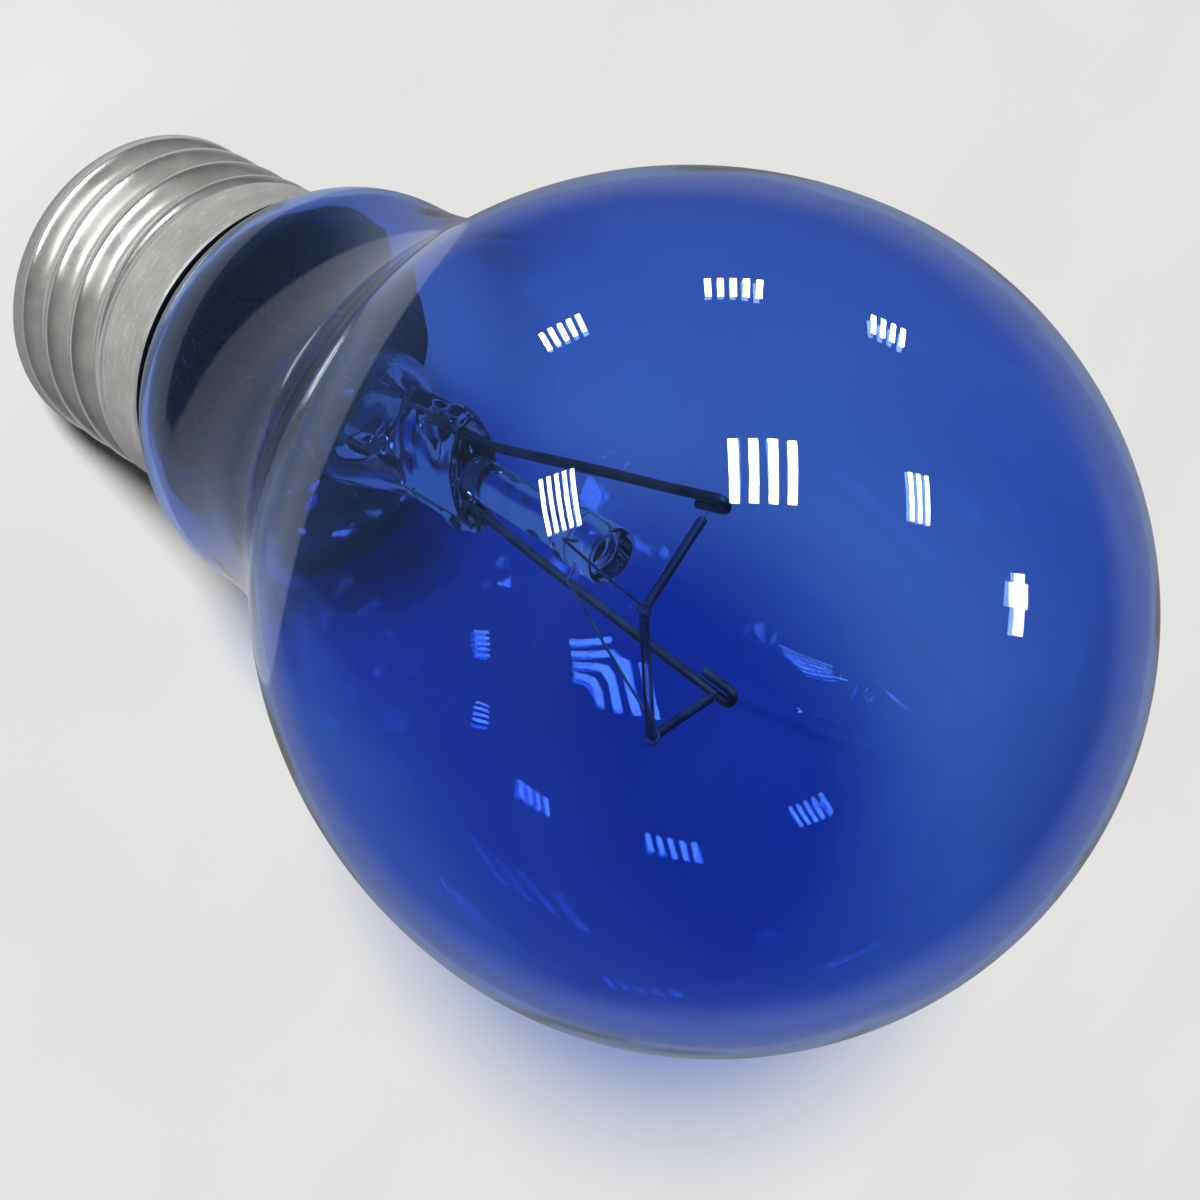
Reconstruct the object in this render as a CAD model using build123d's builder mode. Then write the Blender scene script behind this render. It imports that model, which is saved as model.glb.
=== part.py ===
from build123d import *
import os
from math import asin, atan2, ceil, cos, pi, radians, sin, sqrt

# Daylight bulb with a screw cap: a blown blue glass envelope on a glass stem that carries
# the filament, cemented into a rolled metal cap. The axis is Z, the cap points down and the
# origin is the face of the centre contact. All sizes are in millimetres.

# Glass envelope
globe_diameter = 60.0
lower_globe_radius = 38.5
neck_diameter = 33.0
neck_length = 1.4
neck_blend_radius = 30.0
shoulder_radius = 10.5
seat_diameter = 21.6
seat_blend_radius = 3.0
glass_wall = 0.6

# Cap shell
cap_height = 25.0
cap_sheet = 0.25
thread_major_diameter = 26.2
thread_pitch = 3.629
thread_depth = 1.095
thread_run_out_turns = 0.4
thread_stations_per_turn = 10
collar_height = 5.4
rim_lip_diameter = 27.5
rim_lip_height = 0.9
shell_floor_height = 5.4
shell_corner_radius = 1.5
shell_floor_opening = 21.0
mouth_gap = 0.7

# Insulator, centre contact and solder
insulator_nose_diameter = 11.6
insulator_dish_height = 2.6
insulator_wall_gap = 0.4
insulator_rim_width = 1.0
insulator_boss_width = 1.5
contact_diameter = 9.6
contact_thickness = 0.4
contact_recess = 0.15
contact_fit = 0.05
eyelet_diameter = 2.6
eyelet_bore = 1.8
eyelet_length = 1.6
solder_dome_diameter = 5.2
solder_dome_height = 0.6
solder_flat_diameter = 2.4
side_solder_diameter = 3.0
side_solder_bulge = 1.15
side_solder_rise = 0.7

# Basing cement
cement_thread_gap = 1.2

# Stem: flare, tube, press and exhaust tube
seal_height = 14.0
flare_blend_radius = 4.5
stem_tube_diameter = 11.4
stem_wall = 0.8
stem_tube_length = 22.4
press_taper_length = 6.0
press_length = 7.0
press_width = 10.0
press_thickness = 4.4
press_edge_radius = 0.6
press_bead_diameter = 3.6
press_slot_thickness = 2.0
exhaust_tube_diameter = 4.4
exhaust_bore = 2.6
exhaust_tip_height = 10.5
exhaust_hole_diameter = 2.2
exhaust_hole_rise = 3.0

# Arbor rod and its button
arbor_diameter = 3.3
arbor_length = 11.0
button_overhang = 0.5
button_length = 4.4
button_round = 0.4

# Lead wires
lead_pitch = 6.8
inner_lead_diameter = 0.75
inner_lead_bend_radius = 2.0
inner_lead_rise = 1.5
clamp_span = 16.6
clamp_drop = 3.4
clamp_setback = 1.3
clamp_bend_radius = 0.5
clamp_length = 2.4
clamp_tip_length = 0.6
seal_wire_diameter = 0.4
seal_wire_length = 4.0
outer_lead_diameter = 0.3
outer_lead_bend_radius = 0.8
outer_lead_drop = 1.6
lead_exit_rise = 0.25
fuse_diameter = 0.16
fuse_length = 13.0
lead_clearance = 0.35
lead_collar_gap = 0.5
lead_rim_gap = 0.14

# Filament and its supports
light_centre_height = 77.4
hook_span = 10.8
hook_reach = 8.1
filament_diameter = 0.7
filament_leg_diameter = 0.2
filament_leg_length = 1.5
filament_corner_radius = 1.2
support_diameter = 0.22
support_root_depth = 1.1
support_reach = 0.9
support_bend_radius = 0.5
support_hook_clearance = 0.06
support_hook_turn = 250.0

# Radii and heights that follow from the sizes above
globe_radius = globe_diameter / 2
neck_radius = neck_diameter / 2
seat_radius = seat_diameter / 2
shell_radius = thread_major_diameter / 2
collar_bore_radius = shell_radius - cap_sheet
lip_radius = rim_lip_diameter / 2
mouth_radius = lip_radius - cap_sheet - mouth_gap
lead_offset = lead_pitch / 2
button_radius = arbor_diameter / 2 + button_overhang
stem_tube_radius = stem_tube_diameter / 2
stem_bore_radius = stem_tube_radius - stem_wall
thread_bore_radius = shell_radius - thread_depth - cap_sheet
dish_radius = thread_bore_radius - insulator_wall_gap

# The shoulder arc leaves the rim at the mouth radius and ends upright on the neck.
shoulder_inset = neck_radius - mouth_radius
shoulder_height = cap_height + sqrt(shoulder_radius**2 - (shoulder_radius - shoulder_inset) ** 2)
shoulder_centre = Vector(neck_radius - shoulder_radius, shoulder_height)

# The arc below the shoulder turns upright again on the part of the neck that sits in the cap.
seat_reach = shoulder_radius + seat_blend_radius
seat_blend_offset = seat_radius + seat_blend_radius - shoulder_centre.X
seat_top_height = shoulder_height - sqrt(seat_reach**2 - seat_blend_offset**2)
seat_direction = Vector(seat_blend_offset, seat_top_height - shoulder_height) / seat_reach

# The hollow curve above the neck is tangent to the neck and to the lower half of the globe.
neck_top_height = shoulder_height + neck_length
belly_offset = globe_radius - lower_globe_radius
belly_reach = lower_globe_radius + neck_blend_radius
neck_blend_offset = neck_radius + neck_blend_radius - belly_offset
globe_centre_height = neck_top_height + sqrt(belly_reach**2 - neck_blend_offset**2)
belly_centre = Vector(belly_offset, globe_centre_height)
belly_direction = Vector(neck_blend_offset, neck_top_height - globe_centre_height) / belly_reach

# Heights up the stem
stem_tube_top = seal_height + stem_tube_length
press_bottom = stem_tube_top + press_taper_length
press_top = press_bottom + press_length
press_cavity_top = press_bottom - stem_wall
exhaust_tube_top = stem_tube_top + stem_wall
exhaust_hole_height = stem_tube_top + exhaust_hole_rise
weld_height = press_cavity_top + seal_wire_length
button_bottom = press_top + arbor_length
button_top = button_bottom + button_length

# Heights in the bottom of the cap
contact_top = solder_dome_height + contact_thickness
insulator_nose_height = contact_top - contact_recess
shell_floor_top = shell_floor_height + cap_sheet
dish_top = shell_floor_top + insulator_dish_height
eyelet_top = contact_top + eyelet_length

# Rolled thread: each level of it is a circle set off the axis by half the depth, and the
# set-off turns with height.
thread_top = cap_height - collar_height
thread_bottom = shell_floor_height + shell_corner_radius
thread_turns = (thread_top - thread_bottom) / thread_pitch
thread_stations = ceil(thread_turns * thread_stations_per_turn)

# Route of the outer leads: below the flare, in the gap beside the neck and out between rim and glass
cement_top = cap_height - rim_lip_height
lead_turn_height = seal_height - stem_wall - outer_lead_drop
lead_channel_radius = (seat_radius + thread_bore_radius) / 2
lead_collar_radius = collar_bore_radius - lead_collar_gap - outer_lead_diameter / 2
lead_exit_radius = lip_radius - cap_sheet - lead_rim_gap

os.makedirs("parts", exist_ok=True)


def write_piece(piece, name):
    """Labels a finished piece and writes it to its own file."""
    piece.part.label = name
    export_step(piece.part, f"parts/{name}.step")


def draw_glass_outline(inset):
    """Half outline of the blown glass, inset from its outside, from crown to seal and back."""
    crown = Vector(0, globe_centre_height + globe_radius - inset)
    equator = Vector(globe_radius - inset, globe_centre_height)
    belly_end = belly_centre + belly_direction * (lower_globe_radius - inset)
    neck_top = Vector(neck_radius - inset, neck_top_height)
    shoulder_top = Vector(neck_radius - inset, shoulder_height)
    shoulder_end = shoulder_centre + seat_direction * (shoulder_radius - inset)
    seat_top = Vector(seat_radius - inset, seat_top_height)
    seal = Vector(seat_radius - inset, seal_height)
    TangentArc(crown, equator, tangent=(1, 0))
    belly = TangentArc(equator, belly_end, tangent=(0, -1))
    TangentArc(belly_end, neck_top, tangent=belly % 1)
    Line(neck_top, shoulder_top)
    shoulder = TangentArc(shoulder_top, shoulder_end, tangent=(0, -1))
    TangentArc(shoulder_end, seat_top, tangent=shoulder % 1)
    Line(seat_top, seal)
    Line(seal, (0, seal_height))
    Line((0, seal_height), crown)


def make_shell_form(inset):
    """Solid form of the cap shell: corner, rolled thread, collar and flared rim, inset by the sheet."""
    side = shell_radius - inset
    corner = shell_corner_radius - inset
    floor = shell_floor_height + inset
    lip_start = cap_height - rim_lip_height
    with BuildPart() as form:
        with BuildSketch(Plane.XZ):
            with BuildLine():
                Polyline((side - corner, floor), (0, floor), (0, thread_bottom), (side, thread_bottom))
                TangentArc((side - corner, floor), (side, thread_bottom), tangent=(1, 0))
            make_face()
        revolve(axis=Axis.Z)
        for station in range(thread_stations + 1):
            turn = thread_turns * station / thread_stations
            fade = min(turn, thread_turns - turn, thread_run_out_turns) / thread_run_out_turns
            set_off = thread_depth / 2 * (1 - cos(pi * fade)) / 2
            height = thread_bottom + turn * thread_pitch
            centre = (set_off * cos(2 * pi * turn), set_off * sin(2 * pi * turn), height)
            with BuildSketch(Plane(centre)):
                Circle(side - set_off)
        loft()
        with BuildSketch(Plane.XZ):
            with BuildLine():
                Polyline((side, lip_start), (side, thread_top), (0, thread_top), (0, cap_height))
                Line((0, cap_height), (lip_radius - inset, cap_height))
                TangentArc((side, lip_start), (lip_radius - inset, cap_height), tangent=(0, 1))
            make_face()
        revolve(axis=Axis.Z)
    return form.part


# Envelope: one blown piece with an even wall, open at the seal
with BuildPart() as envelope:
    with BuildSketch(Plane.XZ):
        with BuildLine():
            draw_glass_outline(0)
        make_face()
        with BuildLine():
            draw_glass_outline(glass_wall)
        make_face(mode=Mode.SUBTRACT)
    revolve(axis=Axis.Z)
write_piece(envelope, "envelope")

# The filled outside of the glass, which the cement is cast against
with BuildPart() as glass_form:
    with BuildSketch(Plane.XZ):
        with BuildLine():
            draw_glass_outline(0)
        make_face()
    revolve(axis=Axis.Z)

shell_form = make_shell_form(0)

# Cap shell: rolled sheet, with a round opening in its floor for the insulator
with BuildPart() as cap_shell:
    add(shell_form)
    add(make_shell_form(cap_sheet), mode=Mode.SUBTRACT)
    with BuildSketch(Plane.XY.offset(shell_floor_height)):
        Circle(shell_floor_opening / 2)
    extrude(amount=cap_sheet, mode=Mode.SUBTRACT)
write_piece(cap_shell, "cap_shell")

# Side lead: down the stem, under the flare, up beside the neck and out over the rim
with BuildPart() as outer_lead_side:
    with BuildLine() as side_path:
        FilletPolyline(
            (-lead_offset, 0, press_cavity_top),
            (-lead_offset, 0, lead_turn_height),
            (-lead_channel_radius, 0, lead_turn_height),
            (-lead_channel_radius, 0, thread_top),
            (-lead_collar_radius, 0, cement_top),
            (-lead_exit_radius, 0, cap_height + lead_exit_rise),
            radius=outer_lead_bend_radius,
        )
    with BuildSketch(Plane(side_path.line @ 0, z_dir=side_path.line % 0)):
        Circle(outer_lead_diameter / 2)
    sweep()
write_piece(outer_lead_side, "outer_lead_side")

# Basing cement: fills the collar from above the thread to the foot of the flared rim
with BuildPart() as basing_cement:
    with BuildSketch(Plane.XY.offset(thread_top + cement_thread_gap)):
        Circle(collar_bore_radius)
    extrude(amount=cement_top - thread_top - cement_thread_gap)
    add(glass_form.part, mode=Mode.SUBTRACT)
    add(outer_lead_side.part, mode=Mode.SUBTRACT)
write_piece(basing_cement, "basing_cement")

# Side solder: a spot over the end of the lead, on the outside of the rim
with BuildPart() as side_solder:
    spot = side_solder_diameter / 2
    with Locations((spot - shell_radius - side_solder_bulge, 0, cap_height + side_solder_rise - spot)):
        Sphere(spot)
    add(shell_form, mode=Mode.SUBTRACT)
    with BuildSketch(Plane.XY.offset(cap_height)):
        Circle(lip_radius - cap_sheet)
    extrude(amount=-side_solder_diameter, mode=Mode.SUBTRACT)
    add(glass_form.part, mode=Mode.SUBTRACT)
    add(outer_lead_side.part, mode=Mode.SUBTRACT)
write_piece(side_solder, "side_solder")

# Fuse and centre lead: down the stem, round the exhaust tip and into the eyelet
with BuildPart() as fuse_wire:
    with BuildSketch(Plane((lead_offset, 0, press_cavity_top))):
        Circle(fuse_diameter / 2)
    extrude(amount=-fuse_length)
write_piece(fuse_wire, "fuse_wire")

with BuildPart() as outer_lead_centre:
    with BuildLine() as centre_path:
        FilletPolyline(
            (lead_offset, 0, press_cavity_top - fuse_length),
            (lead_offset, 0, lead_turn_height),
            (0, 0, dish_top),
            (0, 0, contact_top),
            radius=outer_lead_bend_radius,
        )
    with BuildSketch(Plane(centre_path.line @ 0, z_dir=centre_path.line % 0)):
        Circle(outer_lead_diameter / 2)
    sweep()
write_piece(outer_lead_centre, "outer_lead_centre")

# Insulator: a cone below the shell's floor and a dish above it, with a recess for the contact
with BuildPart() as cap_insulator:
    with BuildSketch(Plane.XZ):
        with BuildLine():
            Polyline(
                (eyelet_diameter / 2, contact_top),
                (contact_diameter / 2 + contact_fit, contact_top),
                (contact_diameter / 2 + contact_fit, insulator_nose_height),
                (insulator_nose_diameter / 2, insulator_nose_height),
                (shell_floor_opening / 2, shell_floor_height),
                (shell_floor_opening / 2, shell_floor_top),
                (dish_radius, shell_floor_top),
                (dish_radius, dish_top),
                (dish_radius - insulator_rim_width, dish_top),
                (eyelet_diameter / 2 + insulator_boss_width, eyelet_top),
                (eyelet_diameter / 2, eyelet_top),
                close=True,
            )
        make_face()
    revolve(axis=Axis.Z)
write_piece(cap_insulator, "cap_insulator")

# Centre contact: a flat disc with an eyelet that lines the insulator's hole
with BuildPart() as centre_contact:
    with BuildSketch(Plane.XY.offset(solder_dome_height)):
        Circle(contact_diameter / 2)
    extrude(amount=contact_thickness)
    fillet(centre_contact.edges().group_by(Axis.Z)[0], contact_thickness / 2)
    with BuildSketch(Plane.XY.offset(contact_top)):
        Circle(eyelet_diameter / 2)
    extrude(amount=eyelet_length)
    Hole(eyelet_bore / 2)
write_piece(centre_contact, "centre_contact")

# Centre solder: a dome with a worn flat, and the plug of solder that holds the lead in the eyelet
with BuildPart() as centre_solder:
    with BuildSketch(Plane.XZ):
        with BuildLine():
            Polyline(
                (solder_flat_diameter / 2, 0),
                (0, 0),
                (0, contact_top + eyelet_length / 2),
                (eyelet_bore / 2, contact_top + eyelet_length / 2),
                (eyelet_bore / 2, solder_dome_height),
                (solder_dome_diameter / 2, solder_dome_height),
            )
            TangentArc(
                (solder_flat_diameter / 2, 0),
                (solder_dome_diameter / 2, solder_dome_height),
                tangent=(1, 0),
            )
        make_face()
    revolve(axis=Axis.Z)
    add(outer_lead_centre.part, mode=Mode.SUBTRACT)
write_piece(centre_solder, "centre_solder")

# Exhaust tube: open at the press, drawn to a sealed tip in the cap
with BuildPart() as exhaust_tube:
    with BuildSketch(Plane.XZ):
        with BuildLine():
            tip_centre = exhaust_tip_height + exhaust_tube_diameter / 2
            tip_end = (0, exhaust_tip_height)
            tip = TangentArc((exhaust_tube_diameter / 2, tip_centre), tip_end, tangent=(0, -1))
            bore_end = (0, tip_centre - exhaust_bore / 2)
            bore_tip = TangentArc((exhaust_bore / 2, tip_centre), bore_end, tangent=(0, -1))
            Line(tip @ 1, bore_tip @ 1)
            Polyline(
                bore_tip @ 0,
                (exhaust_bore / 2, exhaust_tube_top),
                (exhaust_tube_diameter / 2, exhaust_tube_top),
                tip @ 0,
            )
        make_face()
    revolve(axis=Axis.Z)
write_piece(exhaust_tube, "exhaust_tube")

# Seal wires: short lengths that the press is closed on
seal_wires = {}
for name, side in (("seal_wire_a", 1), ("seal_wire_b", -1)):
    with BuildPart() as seal_wire:
        with BuildSketch(Plane((side * lead_offset, 0, press_cavity_top))):
            Circle(seal_wire_diameter / 2)
        extrude(amount=seal_wire_length)
    write_piece(seal_wire, name)
    seal_wires[name] = seal_wire

# Inner leads: out of the press, apart to the filament's ends, folded back on themselves as clamps
filament_corners = []
filament_ends = []
inner_leads = {}
for name, side in (("inner_lead_a", 1), ("inner_lead_b", -1)):
    corner = Vector(side * hook_span / 2, hook_reach, light_centre_height)
    weld = Vector(side * lead_offset, 0, weld_height)
    bend = Vector(side * lead_offset, 0, press_top + inner_lead_rise)
    grip = Vector(side * clamp_span / 2, -clamp_setback, light_centre_height - clamp_drop)
    along = (grip - bend).normalized()
    across = along.cross(corner - grip).normalized() * side
    fold = grip + along * clamp_tip_length
    with BuildPart() as inner_lead:
        with BuildLine() as lead_path:
            FilletPolyline(weld, bend, fold, radius=inner_lead_bend_radius)
            ThreePointArc(
                fold,
                fold + (along + across) * clamp_bend_radius,
                fold + across * (2 * clamp_bend_radius),
            )
            folded = fold + across * (2 * clamp_bend_radius)
            Line(folded, folded - along * clamp_length)
        with BuildSketch(Plane(weld, z_dir=(0, 0, 1))):
            Circle(inner_lead_diameter / 2)
        sweep()
    write_piece(inner_lead, name)
    inner_leads[name] = inner_lead
    filament_corners.append(corner)
    filament_ends.append(grip + across * clamp_bend_radius)

# Filament: three straight spans of coil between the clamps and the two hooks, with thin legs
# in the clamps
leg_ends = [
    end + (corner - end).normalized() * filament_leg_length
    for end, corner in zip(filament_ends, filament_corners)
]
with BuildPart() as filament:
    with BuildLine() as coil_path:
        FilletPolyline(leg_ends[0], *filament_corners, leg_ends[1], radius=filament_corner_radius)
    with BuildSketch(Plane(leg_ends[0], z_dir=coil_path.line % 0)):
        Circle(filament_diameter / 2)
    sweep()
    for end, leg_end in zip(filament_ends, leg_ends):
        with BuildSketch(Plane(end, z_dir=leg_end - end)):
            Circle(filament_leg_diameter / 2)
        extrude(amount=filament_leg_length)
write_piece(filament, "filament")

# Support wires: set in the side of the button and hooked round the filament's corners
hook_radius = (filament_diameter + support_diameter) / 2 + support_hook_clearance
hook_turn = radians(support_hook_turn)
button_middle = (button_bottom + button_top) / 2
up = Vector(0, 0, 1)
supports = {}
coil_bends = coil_path.edges().filter_by(GeomType.CIRCLE)
for name, coil_bend in zip(("support_wire_a", "support_wire_b"), coil_bends):
    ring = coil_bend @ 0.5
    across = Vector(ring.X, ring.Y, 0).normalized()
    root = across * (button_radius - support_root_depth) + up * button_middle
    bend = across * (button_radius + support_reach) + up * button_middle
    span = ring - bend
    heading = atan2(span.Z, span.dot(across)) + asin(hook_radius / span.length)
    hook = [
        ring + (across * cos(heading + side) + up * sin(heading + side)) * hook_radius
        for side in (pi / 2, pi / 2 - hook_turn / 2, pi / 2 - hook_turn)
    ]
    with BuildPart() as support_wire:
        with BuildLine() as support_path:
            FilletPolyline(root, bend, hook[0], radius=support_bend_radius)
            ThreePointArc(*hook)
        with BuildSketch(Plane(support_path.line @ 0, z_dir=support_path.line % 0)):
            Circle(support_diameter / 2)
        sweep()
    write_piece(support_wire, name)
    supports[name] = support_wire

# Arbor rod: a glass cane on the press, upset to a button that holds the supports
with BuildPart() as arbor_rod:
    with BuildSketch(Plane.XZ) as rod_section:
        with BuildLine():
            Polyline(
                (0, press_top),
                (arbor_diameter / 2, press_top),
                (arbor_diameter / 2, button_bottom),
                (button_radius, button_bottom),
                (button_radius, button_top),
                (0, button_top),
                close=True,
            )
        make_face()
        fillet(rod_section.vertices().group_by(Axis.X)[-1], button_round)
    revolve(axis=Axis.Z)
    for support_wire in supports.values():
        add(support_wire.part, mode=Mode.SUBTRACT)
write_piece(arbor_rod, "arbor_rod")

# Hollow of the press: narrows from the tube to a slot, with the foot of the exhaust tube
# left standing in it
with BuildPart() as press_hollow:
    with BuildSketch(Plane.XY.offset(stem_tube_top)):
        Circle(stem_bore_radius)
    with BuildSketch(Plane.XY.offset(press_cavity_top)):
        Ellipse(lead_offset + 2 * lead_clearance, press_slot_thickness / 2)
    loft()
    with BuildSketch(Plane.XY.offset(exhaust_tube_top)):
        Circle(exhaust_tube_diameter / 2)
    extrude(amount=press_bottom - exhaust_tube_top, mode=Mode.SUBTRACT)

# Stem: flare and tube, pressed flat at the top round the leads
with BuildPart() as stem_flare:
    with BuildSketch(Plane.XZ):
        with BuildLine():
            flare_reach = stem_tube_radius + flare_blend_radius
            blend_top = seal_height + flare_blend_radius
            flare_bottom = seal_height - stem_wall
            top_end = (flare_reach, seal_height)
            bottom_end = (flare_reach, flare_bottom)
            outside = TangentArc((stem_tube_radius, blend_top), top_end, tangent=(0, -1))
            inside = TangentArc((stem_bore_radius, blend_top), bottom_end, tangent=(0, -1))
            Polyline(outside @ 1, (seat_radius, seal_height), (seat_radius, flare_bottom), inside @ 1)
            Polyline(
                outside @ 0,
                (stem_tube_radius, stem_tube_top),
                (stem_bore_radius, stem_tube_top),
                inside @ 0,
            )
        make_face()
    revolve(axis=Axis.Z)
    with BuildSketch(Plane.XY.offset(stem_tube_top)):
        Circle(stem_tube_radius)
    with BuildSketch(Plane.XY.offset(press_bottom)):
        Ellipse(press_width / 2, press_thickness / 2)
    loft()
    with BuildSketch(Plane.XY.offset(press_bottom)):
        Ellipse(press_width / 2, press_thickness / 2)
    extrude(amount=press_length)
    fillet(stem_flare.edges().sort_by(Axis.Z)[-1], press_edge_radius)
    bead_height = press_top - press_bead_diameter / 2
    with Locations((lead_offset, 0, bead_height), (-lead_offset, 0, bead_height)):
        Sphere(press_bead_diameter / 2)
    add(press_hollow.part, mode=Mode.SUBTRACT)
    with BuildSketch(Plane.XY.offset(exhaust_tube_top)):
        Circle(exhaust_bore / 2)
    bore_rise = exhaust_hole_height - exhaust_tube_top + exhaust_hole_diameter / 2
    extrude(amount=bore_rise, mode=Mode.SUBTRACT)
    with BuildSketch(Plane.XZ):
        with Locations((0, exhaust_hole_height)):
            Circle(exhaust_hole_diameter / 2)
    extrude(amount=-stem_tube_radius, mode=Mode.SUBTRACT)
    for wire in (*seal_wires.values(), *inner_leads.values()):
        add(wire.part, mode=Mode.SUBTRACT)
write_piece(stem_flare, "stem_flare")
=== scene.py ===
"""Looks of a blue daylight bulb with a screw cap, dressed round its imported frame.

Every piece stands in the frame's own place: the axis is Z, the cap points down and the
origin is the face of the centre contact. Sizes are written in millimetres and become
metres when a mesh is made.
"""

import logging
import math
from dataclasses import dataclass
from enum import Enum
from typing import Callable, Sequence

import bpy
from mathutils import Matrix, Vector, noise

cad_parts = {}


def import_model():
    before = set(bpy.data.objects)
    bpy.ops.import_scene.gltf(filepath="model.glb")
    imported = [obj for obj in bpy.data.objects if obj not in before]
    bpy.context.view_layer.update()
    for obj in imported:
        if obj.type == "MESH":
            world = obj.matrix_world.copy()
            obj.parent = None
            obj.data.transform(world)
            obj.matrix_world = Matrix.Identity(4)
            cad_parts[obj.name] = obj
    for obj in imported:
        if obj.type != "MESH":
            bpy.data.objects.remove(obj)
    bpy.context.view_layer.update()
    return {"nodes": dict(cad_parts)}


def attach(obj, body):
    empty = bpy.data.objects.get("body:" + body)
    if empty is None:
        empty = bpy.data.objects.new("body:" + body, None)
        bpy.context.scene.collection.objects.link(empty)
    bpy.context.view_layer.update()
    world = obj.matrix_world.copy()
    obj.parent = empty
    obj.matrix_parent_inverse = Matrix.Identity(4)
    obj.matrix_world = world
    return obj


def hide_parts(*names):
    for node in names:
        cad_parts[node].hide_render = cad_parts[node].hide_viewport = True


MM = 0.001
BODY = "root"
log = logging.getLogger("daylight_bulb")

Socket = bpy.types.NodeSocket
Piece = bpy.types.Object
Nodes = dict[str, Piece]
Span = tuple[float, float]
Colour = tuple[float, float, float]
Triple = tuple[float, float, float]
Ring = list[Vector]

# What the mirrored surroundings are painted by: the heading of their pale far side and the
# lean at which it begins, and the middle of the globe and of the pale disc in metres.
FAR_SIDE = (-0.562, -0.520, -0.643)
FAR_EDGE = (0.42, 0.57)
GLOBE_CENTRE = (0.0, 0.0, 0.0752)
PALE_CENTRE = (-0.005, 0.006, 0.0)

# Detail of noise in clouds and in drawn lines, and levels of a soft and of a marked cloud.
CLOUD_DETAIL = 2.0
LINE_DETAIL = 3.0
SOFT = {"low": 0.3, "high": 0.7}
MARKED = {"low": 0.35, "high": 0.65}

WHOLE = (0.0, 1.0)
BLACK = (0.0, 0.0, 0.0)
NUMBER_SUMS = ("DISTANCE", "DOT_PRODUCT", "LENGTH")

# Bounces that light may take in the glass, and clear layers on the ray of a lamp.
GLASS_BOUNCES = 15
CLEAR_LAYERS = 20


class Slot(Enum):
    """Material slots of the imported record."""

    BLUE_GLASS = "blue_glass"
    CLEAR_GLASS = "clear_glass"
    LEAD_METAL = "lead_metal"
    COPPER_CLAD = "copper_clad"
    SUPPORT_METAL = "support_metal"
    TUNGSTEN = "tungsten"
    CAP_METAL = "cap_metal"
    BLACK_GLASS = "black_glass"
    CONTACT_BRASS = "contact_brass"
    SOLDER = "solder"
    CEMENT = "cement"


class Effect(Enum):
    """Surface effects that the finishes share, each one a node group."""

    MOTTLE = "soft mottle"
    SPECKS = "fine specks"
    SCRATCHES = "hair scratches"
    STREAKS = "drawn streaks"
    CREST = "worn crests"
    INSIDE = "inner faces"
    LEVEL = "upper part"


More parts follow.
